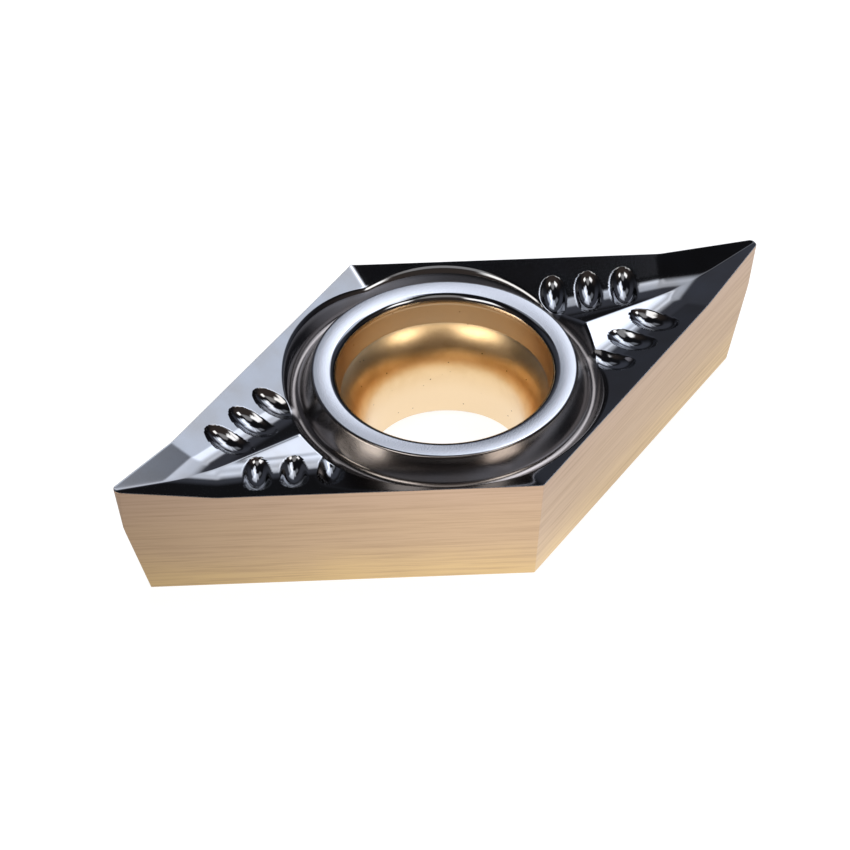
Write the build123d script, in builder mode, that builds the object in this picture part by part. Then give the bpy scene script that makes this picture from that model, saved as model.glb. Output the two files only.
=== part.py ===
from build123d import *
from math import acos, atan2, cos, degrees, radians, sin, tan
import os

# Rhombic turning insert with positive flanks: millimetres and degrees.
# +Z is up and Z = 0 is the bottom seat, the screw hole runs along Z, and +X points along
# the long diagonal at a cutting corner.

# Outline and flanks
inscribed_circle = 9.525        # at the height of the cutting corners
corner_angle = 55.0             # at each cutting corner
clearance_angle = 7.0
thickness = 3.97                # bottom seat to cutting corner
nose_radius = 0.2

# Rake faces and the cutting edges that they make
rake_angle = 18.0               # each rake face falls inward from its cutting edge
edge_drop = 0.33                # from the cutting corner to the level part of the edge
knee_distance = 2.9             # from the sharp corner to where the edge turns level

# Ridge along the long diagonal, with a chip groove on each side
ridge_drop = 0.53               # crest below the cutting corner, where it meets the ring groove
ridge_dip = 2.0                 # the crest falls towards the cutting corner at this angle
ridge_angle = 17.5              # slope of the ridge's sides
chip_groove_radius = 1.2

# Collar round the screw hole, with a ring groove outside it
collar_drop = 0.15              # collar face below the cutting corner
collar_radius = 3.64
collar_angle = 66.0             # slope of the collar's outer wall
collar_edge_radius = 0.1
ring_groove_width = 0.81        # from the collar face to the rim, where it meets the ridge
rim_angle = 62.0                # slope of the ring groove's outer wall
ring_groove_radius = 0.2

# Screw hole
bore_diameter = 4.4
bore_edge_chamfer = 0.27        # at the bottom seat
seat_radius = 2.86              # where the screw head's seat meets the wall above it
seat_depth = 0.86               # of that circle below the collar face
seat_arc_radius = 1.55
collar_face_width = 0.44        # flat ring round the hole's mouth
mouth_edge_radius = 0.25

# Dimples beside each cutting corner, in a row along each cutting edge
dimple_count = 3
dimple_start = 3.98             # first dimple, along the edge from the sharp corner
dimple_pitch = 0.99
dimple_inset = 1.16             # dimple centre, inward from the cutting edge
dimple_inset_step = 0.1         # each further dimple lies this much further in
dimple_half_length = 0.77       # across the chip groove
dimple_section_radius = 0.43    # at the middle
dimple_end_radius = 0.3
dimple_lift = 0.24              # dimple centre above the rake face
dimple_tilt = 9.0               # the dimples fall inward at this angle

# Heights and directions worked out from the sizes above
half_angle = radians(corner_angle / 2)
clearance = tan(radians(clearance_angle))
sharp_tip = inscribed_circle / 2 / sin(half_angle)      # sharp corner on the long diagonal
nose_start = nose_radius / tan(half_angle)              # from the sharp corner to the nose arc
edge_fall = edge_drop / (knee_distance - nose_start)
edge_level = thickness - edge_drop
rake_fall = tan(radians(rake_angle))
ridge_level = thickness - ridge_drop
ridge_fall = tan(radians(ridge_angle))
crest_fall = tan(radians(ridge_dip))
collar_level = thickness - collar_drop
rim_radius = collar_radius + ring_groove_width
margin = 0.4                                            # how far cuts run past the surface
reach = sharp_tip + margin

up = Vector(0, 0, 1)
along_edge = Vector(-cos(half_angle), sin(half_angle), 0)       # from the +X corner to the +Y one
inward = Vector(-sin(half_angle), -cos(half_angle), 0)          # square to that edge


def on_rake_face(distance, inset):
    """Point of the level rake face: distance along the edge from the sharp corner, inset inward."""
    plan = Vector(sharp_tip, 0, 0) + along_edge * distance + inward * inset
    return plan + up * (edge_level - rake_fall * inset)


# Flank of one quarter, leaning out as it rises
outward_lean = inward * -cos(radians(clearance_angle)) - up * sin(radians(clearance_angle))
flank = Plane(Vector(sharp_tip, 0, thickness), along_edge, outward_lean)

# Nose: a cone whose radius runs out below the corner, split where it leaves the flanks
nose_center = (inscribed_circle / 2 - nose_radius) / sin(half_angle)
nose_depth = nose_radius / clearance
nose_apex = Vector(nose_center, 0, thickness - nose_depth)
nose_cut = Plane(origin=nose_apex, z_dir=(1, 0, -clearance * sin(half_angle)), x_dir=(0, 1, 0))

with BuildPart() as nose:
    with Locations(nose_apex + up * (nose_depth + margin) / 2):
        Cone(0, nose_radius + margin * clearance, nose_depth + margin)
    split(bisect_by=nose_cut, keep=Keep.TOP)

# Dimple outline: a long arc about the middle, and an end arc that is tangent to it on each side
dimple_end = dimple_half_length - dimple_end_radius
dimple_swell = dimple_section_radius - dimple_end_radius
dimple_arc_drop = (dimple_end**2 - dimple_swell**2) / (2 * dimple_swell)
dimple_arc_radius = dimple_section_radius + dimple_arc_drop
dimple_arc_angle = degrees(atan2(dimple_end, dimple_arc_drop))
dimple_arc_center = (0, -dimple_arc_drop)

# Chip groove of one quarter: rake face, rounded bottom and ridge side are one V-shaped cut
rake_normal = inward * rake_fall + up
ridge_normal = Vector(crest_fall, ridge_fall, 1)
nose_normal = rake_normal + along_edge * edge_fall
groove_line = rake_normal.cross(ridge_normal).normalized()
corner_fall = rake_fall * sin(half_angle)
crest_at_axis = ridge_level + crest_fall * rim_radius       # the crest's line, carried on to the hole
groove_tip = (crest_at_axis - edge_level + corner_fall * sharp_tip) / (crest_fall + corner_fall)
groove_start = Vector(groove_tip, 0, crest_at_axis - crest_fall * groove_tip)
groove_plane = Plane(origin=groove_start, z_dir=groove_line, x_dir=up.cross(groove_line))
rake_side = groove_plane.to_local_coords(groove_start + groove_line.cross(rake_normal) * reach)
ridge_side = groove_plane.to_local_coords(groove_start + ridge_normal.cross(groove_line) * reach)
corner_plane = Plane(origin=Vector(sharp_tip, 0, thickness) + along_edge * nose_start, z_dir=nose_normal)

with BuildPart() as chip_groove:
    with BuildSketch(groove_plane) as groove_profile:
        with BuildLine():
            Polyline(
                (0, 0),
                (rake_side.X, rake_side.Y),
                (rake_side.X, rake_side.Y + reach),
                (ridge_side.X, ridge_side.Y + reach),
                (ridge_side.X, ridge_side.Y),
                close=True,
            )
        make_face()
        fillet(groove_profile.vertices().sort_by_distance((0, 0))[0], chip_groove_radius)
    extrude(amount=reach, both=True)
    split(bisect_by=corner_plane, keep=Keep.TOP)

    # Dimples, each an oval long across the chip groove and round in section
    dimple_axis = inward * cos(radians(dimple_tilt)) - up * sin(radians(dimple_tilt))
    dimple_turn = 90 - dimple_arc_angle
    for number in range(dimple_count):
        distance = dimple_start + dimple_pitch * number
        inset = dimple_inset + dimple_inset_step * number
        dimple_plane = Plane(on_rake_face(distance, inset) + up * dimple_lift, dimple_axis, along_edge)
        with BuildSketch(dimple_plane):
            with BuildLine():
                CenterArc(dimple_arc_center, dimple_arc_radius, dimple_turn, 2 * dimple_arc_angle)
                CenterArc((dimple_end, 0), dimple_end_radius, 0, dimple_turn)
                CenterArc((-dimple_end, 0), dimple_end_radius, 180, -dimple_turn)
                Line((-dimple_half_length, 0), (dimple_half_length, 0))
            make_face()
        revolve(axis=Axis(dimple_plane.origin, dimple_plane.x_dir))

    # The quarter, mirrored to the other three
    split(bisect_by=Plane.XZ, keep=Keep.BOTTOM)
    split(bisect_by=Plane.YZ, keep=Keep.TOP)
    mirror(about=Plane.XZ)
    mirror(about=Plane.YZ)

# Ring groove: the collar's outer wall and the groove's outer wall meet in a rounded bottom
collar_slope = tan(radians(collar_angle))
rim_slope = tan(radians(rim_angle))
ring_bottom_radius = (
    collar_level - ridge_level + collar_slope * collar_radius + rim_slope * rim_radius
) / (collar_slope + rim_slope)
ring_bottom_level = collar_level - collar_slope * (ring_bottom_radius - collar_radius)
ring_top = thickness + margin

# Screw hole: rounded mouth, wall, seat arc, bore and chamfered bottom edge
bore_radius = bore_diameter / 2
mouth_radius = collar_radius - collar_face_width
seat_level = collar_level - seat_depth
seat_arc_angle = acos(1 - (seat_radius - bore_radius) / seat_arc_radius)
bore_top = seat_level - seat_arc_radius * sin(seat_arc_angle)
mouth_wall_radius = mouth_radius - mouth_edge_radius
bottom_radius = bore_radius + bore_edge_chamfer

with BuildPart() as carbide_insert:
    # A quarter between the two diagonals and its flank, mirrored to the right half
    with BuildSketch(Plane.XY):
        with BuildLine():
            Polyline((0, 0), (reach, 0), (0, reach), close=True)
        make_face()
    extrude(amount=thickness + margin)
    split(bisect_by=flank, keep=Keep.BOTTOM)
    mirror(about=Plane.XZ)

    # A rounded nose in place of the sharp corner, and the left half as the mirror image
    split(bisect_by=nose_cut, keep=Keep.BOTTOM)
    add(nose.part)
    mirror(about=Plane.YZ)

    # Rake faces, chip grooves and dimples, which leave the ridges
    add(chip_groove.part, mode=Mode.SUBTRACT)

    # Collar, standing in the ring groove
    with BuildSketch(Plane.XY.offset(bore_top)):
        Circle(ring_bottom_radius)
    extrude(amount=collar_level - bore_top)
    with BuildSketch(Plane.XZ) as ring_profile:
        with BuildLine():
            Polyline(
                (ring_bottom_radius, ring_bottom_level),
                (collar_radius, collar_level),
                (collar_radius, ring_top),
                (ring_bottom_radius + (ring_top - ring_bottom_level) / rim_slope, ring_top),
                close=True,
            )
        make_face()
        lowest = ring_profile.vertices().sort_by_distance((ring_bottom_radius, ring_bottom_level))[0]
        fillet(lowest, ring_groove_radius)
    revolve(axis=Axis.Z, mode=Mode.SUBTRACT)
    top_face = faces().filter_by(Axis.Z).sort_by(Axis.Z)[-1]
    fillet(top_face.outer_wire().edges(), collar_edge_radius)

    # Screw hole
    with BuildSketch(Plane.XZ):
        with BuildLine():
            Polyline(
                (bore_radius, bore_top),
                (bore_radius, bore_edge_chamfer),
                (bottom_radius, 0),
                (bottom_radius, -margin),
                (0, -margin),
                (0, ring_top),
                (mouth_radius, ring_top),
                (mouth_radius, collar_level),
            )
            CenterArc((mouth_radius, collar_level - mouth_edge_radius), mouth_edge_radius, 90, 90)
            Polyline((mouth_wall_radius, collar_level - mouth_edge_radius), (seat_radius, seat_level))
            seat_arc_center = (bore_radius + seat_arc_radius, bore_top)
            CenterArc(seat_arc_center, seat_arc_radius, 180, -degrees(seat_arc_angle))
        make_face()
    revolve(axis=Axis.Z, mode=Mode.SUBTRACT)

carbide_insert.part.label = "carbide_insert"
os.makedirs("parts", exist_ok=True)
export_step(carbide_insert.part, "parts/carbide_insert.step")
print("volume mm3", round(carbide_insert.part.volume, 2))
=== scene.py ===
import bpy
import numpy as np
from mathutils import Matrix


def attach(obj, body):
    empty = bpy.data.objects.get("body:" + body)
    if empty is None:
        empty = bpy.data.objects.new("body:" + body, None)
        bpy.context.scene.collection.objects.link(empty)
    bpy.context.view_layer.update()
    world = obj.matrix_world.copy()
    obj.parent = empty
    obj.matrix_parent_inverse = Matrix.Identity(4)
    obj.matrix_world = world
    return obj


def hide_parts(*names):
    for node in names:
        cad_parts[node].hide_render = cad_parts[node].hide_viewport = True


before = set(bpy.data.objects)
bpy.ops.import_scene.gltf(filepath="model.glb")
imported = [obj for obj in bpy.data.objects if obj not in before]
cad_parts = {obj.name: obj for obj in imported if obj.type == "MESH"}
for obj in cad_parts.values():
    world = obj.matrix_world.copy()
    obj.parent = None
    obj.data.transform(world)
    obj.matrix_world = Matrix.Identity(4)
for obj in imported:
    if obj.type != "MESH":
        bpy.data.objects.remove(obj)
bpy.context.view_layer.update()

# The insert: one closed surface worked out as a grid of rows and columns. Each row runs once
# round the insert and each column runs from the bottom seat over the flank, the cutting edge and
# the rake face to the hole and back. Lengths are millimetres and angles degrees.
insert = {
    "inscribedCircle": 9.525,
    "cornerAngle": 55.0,
    "clearanceAngle": 7.0,
    "thickness": 3.97,
    "noseRadius": 0.2,
    "obtuseRadius": 0.045,
    "sharpRadius": 0.02,
    "cuttingEdgeRadius": 0.016,
    "bottomEdgeRadius": 0.03,
    "rakeAngle": 18.0,
    "edgeDrop": 0.33,
    "kneeDistance": 2.9,
    "kneeBand": 0.012,  # each band is the difference of heights below which a corner is rounded
    "ridgeDrop": 0.53,
    "ridgeDip": 2.0,
    "ridgeAngle": 17.5,
    "chipGrooveBand": 0.32,
    "valleyWidth": 0.03,  # rounding where the faces of two cutting edges meet at a cutting corner
    "crestWidth": 0.03,  # rounding of the ridge's crest
    "creaseWidth": 0.09,  # rounding where those faces meet at an obtuse corner
    "collarDrop": 0.15,
    "collarFaceFall": 2.5,
    "collarRadius": 3.64,
    "collarAngle": 66.0,
    "collarEdgeRadius": 0.1,
    "rimRadius": 4.45,
    "rimAngle": 62.0,
    "rimBand": 0.17,
    "ringGrooveRadius": 0.2,
    "boreRadius": 2.2,
    "boreEdgeChamfer": 0.27,
    "boreEdgeRound": 0.012,
    "seatRadius": 2.86,
    "seatDepth": 0.86,
    "seatArcRadius": 1.55,
    "mouthRadius": 3.2,
    "mouthEdgeRadius": 0.25,
    "coatingEdge": 60.0,  # the black coating ends this far down the mouth's arc
    "dimpleCount": 3,
    "dimpleStart": 3.98,
    "dimplePitch": 0.99,
    "dimpleInset": 1.16,
    "dimpleInsetStep": 0.1,
    "dimpleHalfLength": 0.76,
    "dimpleSectionRadius": 0.42,
    "dimpleLift": 0.25,
    "dimpleTilt": 9.0,
    "dimpleBand": 0.07,
    "dimpleFade": 0.09,  # added to the band towards the inner end
    "dimpleFadeLength": 0.6,
    "dimplePull": 0.5,  # share of their distance by which points near a rim are pulled to it
    "dimpleReach": 0.07,
    "noseColumns": 9,
    "edgeColumns": 128,
    "obtuseColumns": 4,
    "rakeRows": 86,
    "rimMargin": 0.07,  # the straight rows end this far outside the ring groove's rim
    "ringRows": [(4.3, 12), (3.88, 17), (3.68, 4)],  # inner radius and count of each set of circles
    "shoulderRows": 8,
    "outlineRow": 12,  # a row of the flank, along which the distance round the outline is taken
}
half = np.radians(insert["cornerAngle"] / 2)
sinHalf, cosHalf = np.sin(half), np.cos(half)
lean = np.radians(insert["clearanceAngle"])
thickness = insert["thickness"]
sharpTip = insert["inscribedCircle"] / 2 / sinHalf
noseStart = insert["noseRadius"] / np.tan(half)
edgeFall = insert["edgeDrop"] / (insert["kneeDistance"] - noseStart)
rakeFall = np.tan(np.radians(insert["rakeAngle"]))
ridgeFall = np.tan(np.radians(insert["ridgeAngle"]))
crestFall = np.tan(np.radians(insert["ridgeDip"]))
faceFall = np.radians(insert["collarFaceFall"])
collarLevel = thickness - insert["collarDrop"]
ridgeLevel = thickness - insert["ridgeDrop"]


# Larger of two heights. Where they differ by less than band, (band - |a - b|)^2 / (4 band) is
# added, which rounds the corner between them.
def smoothMax(a, b, band):
    near = np.maximum(band - np.abs(a - b), 0)
    return np.maximum(a, b) + near**2 / (4 * band)


# Smaller of two heights, rounded in the same way.
def smoothMin(a, b, band):
    return -smoothMax(-a, -b, band)


# Size of a number with its corner at zero rounded: the root of v^2 + width^2.
def softSize(v, width):
    return np.sqrt(v**2 + width**2)


# Height and radius of the ring groove and the collar, as points from the collar's face outwards:
# the face, which falls inwards a little, a shoulder arc, the collar's wall, a bottom arc and the
# groove's outer wall.
def ringProfile():
    a, b = np.radians(insert["rimAngle"]), np.radians(insert["collarAngle"])
    slopeA, slopeB = np.tan(a), np.tan(b)
    collar, rim = insert["collarRadius"], insert["rimRadius"]
    bottom = (collarLevel - ridgeLevel + slopeB * collar + slopeA * rim) / (slopeA + slopeB)
    level = collarLevel - slopeB * (bottom - collar)
    radius = insert["ringGrooveRadius"]
    normals = np.array([[-np.sin(a), np.cos(a)], [np.sin(b), np.cos(b)]])
    center = np.array([bottom, level]) + np.linalg.solve(normals, [radius, radius])
    turn = np.linspace(-b, a, 500)
    groove = center[:, None] + radius * np.array([np.sin(turn), -np.cos(turn)])
    small = insert["collarEdgeRadius"]
    start = collar - small * np.tan(b / 2)
    turn = np.linspace(-faceFall, b, 300)
    shoulder = np.array([start + small * np.sin(turn), collarLevel - small + small * np.cos(turn)])
    far = np.array([[rim + 1.5], [ridgeLevel + slopeA * 1.5]])
    mouth = insert["mouthRadius"]
    near = np.array([[mouth], [shoulder[1, 0] - np.tan(faceFall) * (start - mouth)]])
    return np.hstack([near, shoulder, groove, far]), bottom, start


ring, ringBottom, shoulderStart = ringProfile()
mouthLevel = ring[1, 0]


# Places of points beside the nearest cutting edge: t runs along it from its sharp corner, and n
# runs inwards from it.
def besideEdge(x, y):
    ax, ay = softSize(x, insert["creaseWidth"]), softSize(y, insert["valleyWidth"])
    t = (sharpTip - ax) * cosHalf + ay * sinHalf
    n = (sharpTip - ax) * sinHalf - ay * cosHalf
    return ax, t, n


# Height of the chip breaker without its dimples: the higher of the level rake face, the nose
# facet and the ridge.
def breakerHeight(x, y):
    ax, t, n = besideEdge(x, y)
    land = thickness - insert["edgeDrop"] - rakeFall * n
    nose = thickness - edgeFall * (t - noseStart) - rakeFall * n
    crest = ridgeLevel - crestFall * (ax - insert["rimRadius"])
    ridge = crest - ridgeFall * softSize(y, insert["crestWidth"])
    return smoothMax(smoothMax(land, nose, insert["kneeBand"]), ridge, insert["chipGrooveBand"])


# Height of the pressed face: the chip breaker, lowered by the dimples and by the ring groove. The
# dimples' rims are rounded more towards their inner ends, where they fade into the chip groove.
def topHeight(x, y):
    ax, t, n = besideEdge(x, y)
    top = breakerHeight(x, y)
    for number in range(insert["dimpleCount"]):
        inset = insert["dimpleInset"] + insert["dimpleInsetStep"] * number
        fade = np.clip((n - inset) / insert["dimpleFadeLength"], 0, 1) ** 2
        band = insert["dimpleBand"] + insert["dimpleFade"] * fade
        top = smoothMin(top, dimpleHeight(t, n, number), band)
    r = np.hypot(x, y)
    profile = np.interp(r, ring[0], ring[1])
    return np.where(r > ringBottom, smoothMin(top, profile, insert["rimBand"]), profile)


# Underside of one dimple, a spheroid whose long axis falls inwards: with e along that axis and
# the rest square to it, e^2 / length^2 + rest^2 / section^2 = 1 is solved for the height.
def dimpleHeight(t, n, number):
    tilt = np.radians(insert["dimpleTilt"])
    inset = insert["dimpleInset"] + insert["dimpleInsetStep"] * number
    level = thickness - insert["edgeDrop"] - rakeFall * inset + insert["dimpleLift"]
    along = t - insert["dimpleStart"] - insert["dimplePitch"] * number
    across = n - inset
    section = insert["dimpleSectionRadius"]
    squash = 1 / insert["dimpleHalfLength"] ** 2 - 1 / section**2
    a = squash * np.sin(tilt) ** 2 + 1 / section**2
    b = -2 * squash * across * np.cos(tilt) * np.sin(tilt)
    c = squash * (across * np.cos(tilt)) ** 2 + (along**2 + across**2) / section**2 - 1
    inside = b**2 - 4 * a * c
    return np.where(inside > 0, level - (b + np.sqrt(np.maximum(inside, 0))) / (2 * a), 99.0)


# Pulls points towards the dimples' rims, which makes the rims crisper. Their distance d from a rim
# is the gap between the two heights over the gap's slope, and the pull is a share of
# d e^(-(d / reach)^2).
def pulledToRims(x, y):
    slip = 0.0005
    for number in range(insert["dimpleCount"]):
        gaps = []
        for stepX, stepY in ((0, 0), (slip, 0), (0, slip)):
            ax, t, n = besideEdge(x + stepX, y + stepY)
            gaps.append(breakerHeight(x + stepX, y + stepY) - dimpleHeight(t, n, number))
        slopeX, slopeY = (gaps[1] - gaps[0]) / slip, (gaps[2] - gaps[0]) / slip
        steep = np.maximum(slopeX**2 + slopeY**2, 0.01)
        near = np.exp(-gaps[0] ** 2 / (steep * insert["dimpleReach"] ** 2))
        pull = np.where(steep < 100, insert["dimplePull"] * near * gaps[0] / steep, 0)
        x = np.where(x > 1e-6, x - pull * slopeX, x)
        y = np.where(y > 1e-6, np.maximum(y - pull * slopeY, 0.002), y)
    return x, y


# Columns of one quarter: angles on the nose arc, shares of the straight edge, angles on the
# obtuse corner's arc. Along the edge a column turns by step degrees about the hole.
def edgeShares():
    length = sharpTip / cosHalf
    t = np.linspace(noseStart, length, 4000)
    x, y = sharpTip - t * cosHalf, t * sinHalf
    turn = np.degrees(np.arctan2(y, x))
    step = np.interp(turn, [1, 3, 28, 33, 80, 90], [0.14, 0.2, 0.24, 1.9, 1.9, 0.4])
    count = np.concatenate([[0], np.cumsum(np.diff(turn) / ((step[1:] + step[:-1]) / 2))])
    places = np.interp(np.linspace(0, count[-1], insert["edgeColumns"]), count, t)
    return (places - noseStart) / (length - noseStart)


shares = edgeShares()
side = np.pi / 2 - half
facing = np.concatenate([
    np.linspace(0, side, insert["noseColumns"]),
    np.full(len(shares) - 2, side),
    np.linspace(side, np.pi / 2, insert["obtuseColumns"]),
])
share = np.concatenate([
    np.zeros(insert["noseColumns"]),
    shares[1:-1],
    np.ones(insert["obtuseColumns"]),
])
outwardX, outwardY = np.cos(facing), np.sin(facing)


# Outline of a quarter at height z, pulled in by inset: the nose arc shrinks with depth and the
# straight side runs from the end of that arc to the start of the obtuse corner's arc.
def outline(z, inset=0.0):
    width = insert["inscribedCircle"] / 2 - (thickness - z) * np.tan(lean)
    nose = np.maximum(insert["noseRadius"] - (thickness - z) * np.tan(lean), insert["sharpRadius"])
    blunt = insert["obtuseRadius"]
    radius = (1 - share) * nose + share * blunt - inset
    x = (1 - share) * (width - nose) / sinHalf + radius * outwardX
    y = share * (width - blunt) / cosHalf + radius * outwardY
    return x, y


# The cutting edge lies where the outline meets the pressed face, found in a few rounds
edgeZ = np.full(len(facing), thickness)
for attempt in range(8):
    edgeX, edgeY = outline(edgeZ)
    edgeZ = topHeight(edgeX, edgeY)
slip = 0.002
innerSlope = (edgeZ - topHeight(edgeX - slip * outwardX, edgeY - slip * outwardY)) / slip
rakeTurn = np.arctan(innerSlope)
wedge = np.pi / 2 - lean - rakeTurn
tangent = insert["cuttingEdgeRadius"] / np.tan(wedge / 2)

# Inside the cutting edge, each column runs towards the hole's axis
columnTurn = np.arctan2(edgeY, edgeX)
cosTurn, sinTurn = np.cos(columnTurn), np.sin(columnTurn)

rows = []
normals = []
zones = []


# Adds one row of points with its normals, and the name of the surface that follows it.
def addRow(x, y, z, nx, ny, nz, zone):
    rows.append(np.stack(np.broadcast_arrays(x, y, z), -1))
    normals.append(np.stack(np.broadcast_arrays(nx, ny, nz, x)[:3], -1))
    zones.append(zone)


# Bottom seat: straight lines from the hole's edge to the outline.
def addBottom():
    radius = insert["boreRadius"] + insert["boreEdgeChamfer"] + insert["boreEdgeRound"]
    x, y = outline(0.0, insert["bottomEdgeRadius"])
    for w in (0.0, 0.01, 0.35, 0.7, 1.0):
        inner = (1 - w) * radius
        addRow(inner * cosTurn + w * x, inner * sinTurn + w * y, 0.0, 0, 0, -1, "bottom")


# Flank: a small arc at the bottom, then the outline at rising heights. Both the flat sides and
# the nose cone lean out by the clearance angle.
def addFlank():
    small = insert["bottomEdgeRadius"]
    for a in np.linspace(0, np.pi / 2 - lean, 4)[1:]:
        z = small * (1 - np.cos(a))
        x, y = outline(z, small * (1 - np.sin(a)))
        addRow(x, y, z, outwardX * np.sin(a), outwardY * np.sin(a), -np.cos(a), "flank")
    apex = thickness - insert["noseRadius"] / np.tan(lean)
    top = edgeZ - tangent * np.cos(lean)
    heights = [apex * w for w in (0.35, 0.8)]
    heights += [apex + (top - apex) * w for w in (0.0, 0.13, 0.26, 0.5, 0.75, 1.0)]
    for z in heights:
        x, y = outline(z)
        addRow(x, y, z, outwardX * np.cos(lean), outwardY * np.cos(lean), -np.sin(lean), "flank")


# Cutting edge: an arc that is tangent to the flank and to the rake face.
def addCuttingEdge():
    radius = insert["cuttingEdgeRadius"]
    out = -tangent * np.sin(lean) - radius * np.cos(lean)
    rise = -tangent * np.cos(lean) + radius * np.sin(lean)
    for w in (0.25, 0.5, 0.75, 1.0):
        a = -lean + (np.pi / 2 + rakeTurn + lean) * w
        away = out + radius * np.cos(a)
        zone = "flank" if w < 0.5 else "black"
        addRow(
            edgeX + away * outwardX, edgeY + away * outwardY, edgeZ + rise + radius * np.sin(a),
            outwardX * np.cos(a), outwardY * np.cos(a), np.sin(a), zone,
        )
    return edgeX + away * outwardX, edgeY + away * outwardY


# Adds a row of the pressed face, whose normal is square to its slopes in x and y.
def addTopRow(x, y):
    slip = 0.0008
    slopeX = (topHeight(x + slip, y) - topHeight(x - slip, y)) / (2 * slip)
    slopeY = (topHeight(x, y + slip) - topHeight(x, y - slip)) / (2 * slip)
    slopeX, slopeY = np.where(x < 1e-6, 0, slopeX), np.where(y < 1e-6, 0, slopeY)
    size = np.sqrt(slopeX**2 + slopeY**2 + 1)
    addRow(x, y, topHeight(x, y), -slopeX / size, -slopeY / size, 1 / size, "black")


# Pressed face: rows that pass from the cutting edge's outline to a circle outside the ring groove's
# rim, with points pulled to the dimples' rims, then circles over the ring groove, the collar's wall
# and its shoulder.
def addTop(startX, startY):
    outer = insert["rimRadius"] + insert["rimMargin"]
    for w in np.linspace(0, 1, insert["rakeRows"] + 1)[1:]:
        x, y = (1 - w) * startX + w * outer * cosTurn, (1 - w) * startY + w * outer * sinTurn
        addTopRow(*pulledToRims(x, y))
    for inner, count in insert["ringRows"] + [(shoulderStart, insert["shoulderRows"])]:
        for r in np.linspace(outer, inner, count)[1:]:
            addTopRow(r * cosTurn, r * sinTurn)
        outer = inner


# Screw hole: circles down its profile of mouth arc, wall, seat arc, bore and chamfer.
def addHole():
    mouth, edge = insert["mouthRadius"], insert["mouthEdgeRadius"]
    seatLevel = collarLevel - insert["seatDepth"]
    bore, arc = insert["boreRadius"], insert["seatArcRadius"]
    sweep = np.arccos(1 - (insert["seatRadius"] - bore) / arc)
    boreTop = seatLevel - arc * np.sin(sweep)
    wallTop = mouthLevel - edge
    wallTurn = np.arctan2(wallTop - seatLevel, mouth - edge - insert["seatRadius"])
    coated = np.radians(insert["coatingEdge"])
    places = []
    for a in np.concatenate([np.linspace(faceFall, coated, 8), np.linspace(coated + 0.1, np.pi / 2, 5)]):
        zone = "black" if a < coated - 1e-6 else "hole"
        places.append((mouth - edge * np.sin(a), wallTop + edge * np.cos(a), np.pi / 2 + a, zone))
    for w in (0.04, 0.5, 0.99):
        r = (mouth - edge) * (1 - w) + insert["seatRadius"] * w
        places.append((r, wallTop * (1 - w) + seatLevel * w, wallTurn + np.pi / 2, "hole"))
    for a in np.linspace(sweep * 0.995, 0, 11):
        places.append((bore + arc - arc * np.cos(a), boreTop + arc * np.sin(a), np.pi - a, "hole"))
    chamfer, small = insert["boreEdgeChamfer"], insert["boreEdgeRound"]
    places.append((bore, boreTop * 0.5, np.pi, "hole"))
    places.append((bore, chamfer + small, np.pi, "hole"))
    places.append((bore + small, chamfer - small, np.pi * 1.25, "hole"))
    places.append((bore + chamfer - small, small, np.pi * 1.25, "hole"))
    for r, z, a, zone in places:
        addRow(r * cosTurn, r * sinTurn, z, np.cos(a) * cosTurn, np.cos(a) * sinTurn, np.sin(a), zone)


# Mirrors a quarter's columns to the whole way round, and leaves out the doubled ones.
def allRound(quarter):
    second = quarter[:, -2::-1] * [-1, 1, 1]
    third = quarter[:, 1:] * [-1, -1, 1]
    fourth = quarter[:, -2:0:-1] * [1, -1, 1]
    return np.concatenate([quarter, second, third, fourth], 1)


# Makes a closed mesh from a grid that closes on itself both ways. Each quad takes the material
# of its row, and its corners hold the distance round the outline and the height, as UV.
def closedGrid(name, points, directions, slots):
    rowCount, columnCount = points.shape[:2]
    across, down = np.meshgrid(np.arange(columnCount), np.arange(rowCount))
    right, below = (across + 1) % columnCount, (down + 1) % rowCount
    here, there = down * columnCount, below * columnCount
    quads = np.stack([here + across, here + right, there + right, there + across], -1).reshape(-1, 4)
    mesh = bpy.data.meshes.new(name)
    mesh.vertices.add(rowCount * columnCount)
    mesh.vertices.foreach_set("co", (points.reshape(-1, 3) * 0.001).ravel())
    mesh.loops.add(quads.size)
    mesh.loops.foreach_set("vertex_index", quads.ravel().astype(np.int32))
    mesh.polygons.add(len(quads))
    mesh.polygons.foreach_set("loop_start", np.arange(0, quads.size, 4, dtype=np.int32))
    mesh.polygons.foreach_set("material_index", np.repeat(slots, columnCount).astype(np.int32))
    mesh.polygons.foreach_set("use_smooth", np.ones(len(quads), bool))
    outer = points[insert["outlineRow"], :, :2]
    step = np.linalg.norm(np.diff(outer, axis=0, append=outer[:1]), axis=1)
    around = np.concatenate([[0], np.cumsum(step)])
    u = np.stack([around[across], around[across + 1], around[across + 1], around[across]], -1)
    z = points[..., 2]
    v = np.stack([z[down, across], z[down, right], z[below, right], z[below, across]], -1)
    layer = mesh.uv_layers.new(name="around")
    layer.data.foreach_set("uv", np.stack([u, v], -1).ravel())
    mesh.update(calc_edges=True)
    mesh.normals_split_custom_set_from_vertices(directions.reshape(-1, 3).tolist())
    mesh.validate()
    thing = bpy.data.objects.new(name, mesh)
    bpy.context.scene.collection.objects.link(thing)
    return thing


addBottom()
addFlank()
startX, startY = addCuttingEdge()
addTop(startX, startY)
addHole()
grid = allRound(np.stack(rows))
facingGrid = allRound(np.stack(normals))
zoneNames = ["black", "hole", "flank", "bottom"]
piece = closedGrid("insertSurface", grid, facingGrid, np.array([zoneNames.index(z) for z in zones]))
rowCount, columnCount = grid.shape[:2]
print("insert surface:", rowCount, "rows,", columnCount, "columns,", 2 * rowCount * columnCount, "triangles")


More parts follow.
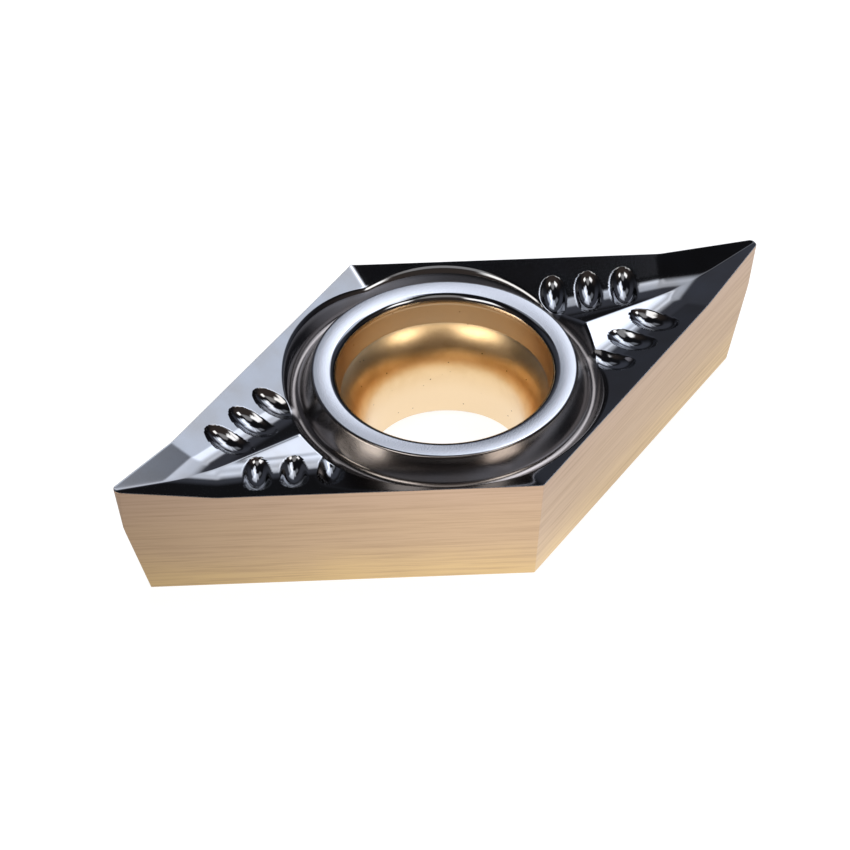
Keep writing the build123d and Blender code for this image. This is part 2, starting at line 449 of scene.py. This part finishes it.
# One output of a shader graph. Sums, products and the like of these and of plain numbers make
# the nodes that work them out.
class Wire:
    def __init__(self, graph, socket):
        self.graph = graph
        self.socket = socket

    def work(self, operation, *values):
        node = self.graph.node("ShaderNodeMath", {"operation": operation}, dict(enumerate(values)))
        return Wire(self.graph, node.outputs[0])

    def __add__(self, other):
        return self.work("ADD", self, other)

    def __radd__(self, other):
        return self.work("ADD", other, self)

    def __sub__(self, other):
        return self.work("SUBTRACT", self, other)

    def __rsub__(self, other):
        return self.work("SUBTRACT", other, self)

    def __mul__(self, other):
        return self.work("MULTIPLY", self, other)

    def __rmul__(self, other):
        return self.work("MULTIPLY", other, self)

    def __pow__(self, other):
        return self.work("POWER", self, other)

    def __abs__(self):
        return self.work("ABSOLUTE", self)

    def atMost(self, other):
        return self.work("MINIMUM", self, other)

    # 0 below low, 1 above high and a smooth rise between them.
    def rise(self, low, high):
        node = self.graph.node(
            "ShaderNodeMapRange", {"interpolation_type": "SMOOTHSTEP"},
            {"Value": self, "From Min": low, "From Max": high},
        )
        return Wire(self.graph, node.outputs[0])


# The nodes of one material or of the world.
class Graph:
    def __init__(self, tree):
        self.tree = tree
        tree.nodes.clear()

    def node(self, kind, settings=None, inputs=None):
        made = self.tree.nodes.new(kind)
        for key, value in (settings or {}).items():
            setattr(made, key, value)
        for key, value in (inputs or {}).items():
            if isinstance(value, Wire):
                self.tree.links.new(value.socket, made.inputs[key])
            else:
                made.inputs[key].default_value = value
        return made

    def wire(self, kind, output, settings=None, inputs=None):
        return Wire(self, self.node(kind, settings, inputs).outputs[output])

    # Blend of two colours by a factor.
    def mix(self, factor, first, second):
        made = self.node("ShaderNodeMix", {"data_type": "RGBA"}, {0: factor, 6: first, 7: second})
        return Wire(self, made.outputs[2])

    # Blend of two shaders by a factor.
    def blend(self, factor, first, second):
        made = self.node("ShaderNodeMixShader", {}, {0: factor})
        self.tree.links.new(first.outputs[0], made.inputs[1])
        self.tree.links.new(second.outputs[0], made.inputs[2])
        return made

    # Joins the finished shader to the output of the material or the world.
    def show(self, kind, shader):
        self.tree.links.new(shader.outputs[0], self.node(kind).inputs[0])

    # Sum, multiple and the like of vectors.
    def vector(self, operation, inputs):
        return self.wire("ShaderNodeVectorMath", 0, {"operation": operation}, inputs)

    # Parts of a vector.
    def split(self, vector):
        made = self.node("ShaderNodeSeparateXYZ", {}, {0: vector})
        return [Wire(self, out) for out in made.outputs]

    # Vector from three parts.
    def join(self, x, y, z):
        return self.wire("ShaderNodeCombineXYZ", 0, {}, {0: x, 1: y, 2: z})

    # Normal raised by a height between 0 and 1 times a depth in metres.
    def bump(self, height, depth):
        return self.wire("ShaderNodeBump", 0, {}, {"Height": height, "Distance": depth, "Strength": 1.0})

    def noise(self, vector, scale, detail=2.0, roughness=0.5):
        return self.wire(
            "ShaderNodeTexNoise", "Fac", {},
            {"Vector": vector, "Scale": scale, "Detail": detail, "Roughness": roughness},
        )


# A material with one Principled surface. dress works out its inputs from the graph and from the
# object's coordinates in millimetres.
def surface(name, dress):
    material = bpy.data.materials.new(name)
    material.use_nodes = True
    graph = Graph(material.node_tree)
    place = graph.wire("ShaderNodeTexCoord", "Object")
    millimetres = graph.vector("SCALE", {0: place, "Scale": 1000.0})
    shader = graph.node("ShaderNodeBsdfPrincipled", {}, dress(graph, millimetres))
    graph.show("ShaderNodeOutputMaterial", shader)
    return material


# Black coating: polished on the chip breaker and the hole's lip, satin and browner in the ring
# groove, and paler where the collar's face is ground. The rings are radii at which each begins or
# ends, in millimetres, and the bump's depth is in metres.
coatingFinish = {
    "polished": (0.205, 0.215, 0.235, 1), "dull": (0.185, 0.185, 0.19, 1),
    "satin": (0.17, 0.155, 0.15, 1), "ground": (0.36, 0.375, 0.41, 1),
    "faceFrom": (3.1, 3.17), "faceTo": (3.56, 3.66), "grooveTo": (4.2, 4.36),
    "roughness": (0.08, 0.2, 0.085), "haze": 0.05, "grain": 28.0, "bump": 0.0000007,
}


def dressCoating(graph, place):
    look = coatingFinish
    x, y, z = graph.split(place)
    radius = (x * x + y * y) ** 0.5
    inFace = radius.rise(*look["faceFrom"]) * (1 - radius.rise(*look["faceTo"]))
    inGroove = radius.rise(*look["faceTo"]) * (1 - radius.rise(*look["grooveTo"]))
    cloud = graph.noise(place, 0.9, 3.0)
    grain = graph.noise(place, look["grain"], 3.0, 0.6)
    color = graph.mix(cloud.rise(0.3, 0.75), look["polished"], look["dull"])
    color = graph.mix(inGroove, color, look["satin"])
    polished, satin, ground = look["roughness"]
    rough = polished + inGroove * (satin - polished) + inFace * (ground - polished)
    return {
        "Base Color": graph.mix(inFace, color, look["ground"]),
        "Metallic": 1.0,
        "Roughness": rough + (inGroove + inFace) * grain * look["haze"],
        "Normal": graph.bump(grain * (inGroove + inFace), look["bump"]),
    }


# Gold coating in the hole: satin and mottled, with a few dark specks.
# The low colour is a painted reflection of the bright floor, and the wall colour is painted shade above the
# seat.
holeFinish = {
    "color": (0.84, 0.60, 0.33, 1), "deep": (0.78, 0.54, 0.28, 1), "low": (0.90, 0.69, 0.45, 1),
    "paintedReflectionHeights": (0.9, 2.1), "wall": (0.47, 0.35, 0.225, 1), "paintedShadeHeights": (2.9, 3.0),
    "speck": (0.16, 0.09, 0.05, 1), "speckScale": 3.4, "speckSize": 0.09,
    "roughness": 0.25, "haze": 0.12, "grain": 30.0, "bump": 0.000003,
}


def dressHole(graph, place):
    look = holeFinish
    grain = graph.noise(place, look["grain"], 3.0, 0.65)
    cloud = graph.noise(place, 2.2, 3.0)
    dots = graph.wire("ShaderNodeTexVoronoi", "Distance", {}, {"Vector": place, "Scale": look["speckScale"]})
    speck = 1 - dots.rise(look["speckSize"] * 0.5, look["speckSize"])
    height = graph.split(place)[2]
    gold = graph.mix(cloud.rise(0.35, 0.7), look["color"], look["deep"])
    # Painted reflection: the bore is a paler gold low down, as if it showed the bright floor.
    gold = graph.mix(height.rise(*look["paintedReflectionHeights"]), look["low"], gold)
    # Painted shade: the hole above its seat, under the mouth, is a darker brown.
    gold = graph.mix(height.rise(*look["paintedShadeHeights"]), gold, look["wall"])
    return {
        "Base Color": graph.mix(speck * cloud.rise(0.4, 0.6), gold, look["speck"]),
        "Metallic": 1.0,
        "Roughness": look["roughness"] + look["haze"] * grain,
        "Normal": graph.bump(grain, look["bump"]),
    }


# Ground gold flanks: rosy tan at the top and yellower near the bottom, with fine lines along the
# cutting edge. The lines are noise stretched along the outline and squeezed in height.
# The lighter, yellower colour near the bottom is painted light, a painted reflection of the floor's glow.
flankFinish = {
    "top": (0.60, 0.42, 0.30, 1), "middle": (0.62, 0.435, 0.28, 1), "bottom": (0.75, 0.53, 0.265, 1),
    "line": (0.42, 0.28, 0.18, 1), "contrast": 0.45, "roughness": 0.3, "bump": 0.0000016,
    "stretch": (0.22, 9.0), "fine": (0.5, 26.0),
}


def dressFlank(graph, place):
    look = flankFinish
    u, v, w = graph.split(graph.wire("ShaderNodeUVMap", 0, {"uv_map": "around"}))
    broad = graph.noise(graph.join(u * look["stretch"][0], v * look["stretch"][1], 0.0), 1.0, 4.0, 0.65)
    fine = graph.noise(graph.join(u * look["fine"][0], v * look["fine"][1], 3.0), 1.0, 3.0, 0.6)
    cloud = graph.noise(place, 0.7, 2.0)
    # Painted light: the gold grows lighter and yellower towards the bottom, standing for the floor's glow
    # reflected there.
    low = graph.mix((v + cloud * 0.7).rise(0.1, 2.2), look["bottom"], look["middle"])
    gold = graph.mix((v + cloud * 0.6).rise(2.2, 4.2), low, look["top"])
    lines = (broad * 0.6 + fine * 0.4).rise(0.42, 0.66)
    return {
        "Base Color": graph.mix(lines * look["contrast"], gold, look["line"]),
        "Metallic": 1.0,
        "Roughness": look["roughness"] + lines * 0.1,
        "Normal": graph.bump(broad * 0.5 + fine * 0.5, look["bump"]),
    }


for material in (
    surface("blackCoating", dressCoating),
    surface("holeGold", dressHole),
    surface("flankGold", dressFlank),
    surface("bottomGold", dressFlank),
):
    piece.data.materials.append(material)
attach(piece, "root")
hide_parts("carbide_insert")
print("materials: done")

# The camera stands az degrees from -Y towards +X about the insert and el degrees up, turned by
# roll, at a distance in millimetres, moved across its view, with a focal length in pixels.
camera = {
    "az": -28.7, "el": 42.0, "roll": -1.35, "distance": 122.0,
    "across": -0.56, "up": -0.24, "focal": 4420.0, "pixels": 850, "aimHeight": 2.0,
}


# Camera matrix: back looks away from the insert, right and over are turned by the roll.
def addCamera():
    az, el, roll = (np.radians(camera[key]) for key in ("az", "el", "roll"))
    back = np.array([np.sin(az) * np.cos(el), -np.cos(az) * np.cos(el), np.sin(el)])
    right = np.cross(-back, [0, 0, 1])
    right = right / np.linalg.norm(right)
    over = np.cross(back, right)
    turnedRight = np.cos(roll) * right + np.sin(roll) * over
    turnedOver = -np.sin(roll) * right + np.cos(roll) * over
    spot = back * camera["distance"] + turnedRight * camera["across"] + turnedOver * camera["up"]
    spot = (spot + [0, 0, camera["aimHeight"]]) * 0.001
    data = bpy.data.cameras.new("camera")
    data.sensor_width = 36.0
    data.lens = camera["focal"] * 36.0 / camera["pixels"]
    data.clip_start, data.clip_end = 0.01, 20.0
    thing = bpy.data.objects.new("camera", data)
    turn = np.column_stack([turnedRight, turnedOver, back])
    thing.matrix_world = Matrix.Translation(spot.tolist()) @ Matrix(turn.tolist()).to_4x4()
    bpy.context.scene.collection.objects.link(thing)
    bpy.context.scene.camera = thing


addCamera()

# Floor: white paper. The camera sees it clipped to white, so that the insert's shadow doesn't show.
# Reflections see it glow white, with a painted falloff of light towards the left, and a little towards the
# right.
floor = {
    "size": 6.0, "below": 0.00001, "color": (0.9, 0.9, 0.9, 1), "own": 0.65, "seen": 1.32,
    "mirrored": (0.55, 0.62, -0.2), "left": (-0.012, 0.002), "right": (0.0, 0.004),
}


def addFloor():
    reach = floor["size"] / 2
    mesh = bpy.data.meshes.new("floor")
    corners = [(-reach, -reach, 0), (reach, -reach, 0), (reach, reach, 0), (-reach, reach, 0)]
    mesh.from_pydata(corners, [], [(0, 1, 2, 3)])
    thing = bpy.data.objects.new("floor", mesh)
    thing.location.z = -floor["below"]
    bpy.context.scene.collection.objects.link(thing)
    material = bpy.data.materials.new("floor")
    material.use_nodes = True
    graph = Graph(material.node_tree)
    x, y, z = graph.split(graph.wire("ShaderNodeTexCoord", "Object"))
    base, front, side = floor["mirrored"]
    along = x * cosHalf - y * sinHalf
    # Painted falloff of light: the floor's glow seen in reflections dims towards the left and the right.
    paintedFalloffLight = base + front * along.rise(*floor["left"]) + side * x.rise(*floor["right"])
    path = graph.node("ShaderNodeLightPath")
    seen, mirrored = Wire(graph, path.outputs["Is Camera Ray"]), Wire(graph, path.outputs["Is Glossy Ray"])
    diffuse = graph.node("ShaderNodeBsdfDiffuse", {}, {"Color": floor["color"]})
    strength = seen * floor["seen"] + mirrored * paintedFalloffLight
    white = graph.join(strength, strength, strength)
    glow = graph.node("ShaderNodeEmission", {}, {"Color": white, "Strength": 1.0})
    own = (seen * floor["own"] + mirrored).atMost(1.0)
    graph.show("ShaderNodeOutputMaterial", graph.blend(own, diffuse, glow))
    mesh.materials.append(material)


addFloor()

# Surroundings: soft cards in a dark room, with their angles in degrees. Each card has its middle's
# azimuth from +X towards +Y, half width, soft border, the heights over which it fades in and out,
# its light and its colour.
room = {
    "dark": (0.022, 0.022, 0.025),
    "cards": [
        (22, 28, 6, (38, 48), (62, 70), 2.4, (0.93, 0.98, 1.08)),
        (46, 14.5, 2, (28, 37), (60, 68), 2.2, (0.95, 0.98, 1.05)),
        (66, 9, 3, (38, 46), (60, 66), 1.6, (0.95, 0.98, 1.05)),
        (88, 22, 6, (46, 54), (60, 66), 0.6, (0.95, 0.98, 1.05)),
        (8, 30, 7, (54, 63), (72, 80), 4.2, (0.95, 0.98, 1.05)),
        (60, 70, 20, (8, 26), (38, 46), 0.16, (0.85, 0.9, 1.1)),
        (-118, 36, 10, (50, 60), (78, 86), 1.0, (1, 0.95, 0.9)),
        (-164, 20, 5, (38, 44), (56, 62), 5.0, (1, 0.96, 0.9)),
        (-69, 13, 4, (39, 43), (54, 60), 5.5, (1, 0.95, 0.88)),
        (178, 15, 4, (-9, -5), (8, 16), 8.0, (1, 0.94, 0.85)),
        (-76, 12, 4, (-4, 0), (5, 10), 6.0, (1, 0.88, 0.76)),
        (-30, 10, 4, (66, 69), (74, 78), 4.0, (1, 1, 1)),
        (-118, 80, 25, (12, 30), (44, 60), 0.12, (1, 0.72, 0.55)),
    ],
}


# World light: each direction is turned into its azimuth and height, and each card adds its light
# times a smooth window over both. The camera itself sees white.
def addRoom():
    world = bpy.data.worlds.new("room")
    world.use_nodes = True
    bpy.context.scene.world = world
    graph = Graph(world.node_tree)
    x, y, z = graph.split(graph.wire("ShaderNodeTexCoord", "Generated"))
    azimuth = y.work("ARCTAN2", y, x) * (180 / np.pi)
    height = z.work("ARCSINE", z) * (180 / np.pi)
    total = graph.join(*room["dark"])
    for az, wide, soft, rise, fall, light, color in room["cards"]:
        away = azimuth - az
        sideways = 1 - abs(away.work("WRAP", away, 180.0, -180.0)).rise(wide - soft, wide + soft)
        strength = sideways * height.rise(*rise) * (1 - height.rise(*fall)) * light
        total = graph.vector("ADD", {0: total, 1: graph.vector("SCALE", {0: color, "Scale": strength})})
    lit = graph.node("ShaderNodeBackground", {}, {0: total, 1: 1.0})
    white = graph.node("ShaderNodeBackground", {}, {0: (1, 1, 1, 1), 1: 1.0})
    seen = graph.wire("ShaderNodeLightPath", "Is Camera Ray")
    graph.show("ShaderNodeOutputWorld", graph.blend(seen, lit, white))


addRoom()
bpy.context.scene.view_settings.view_transform = "Standard"
print("camera, floor and room: done")
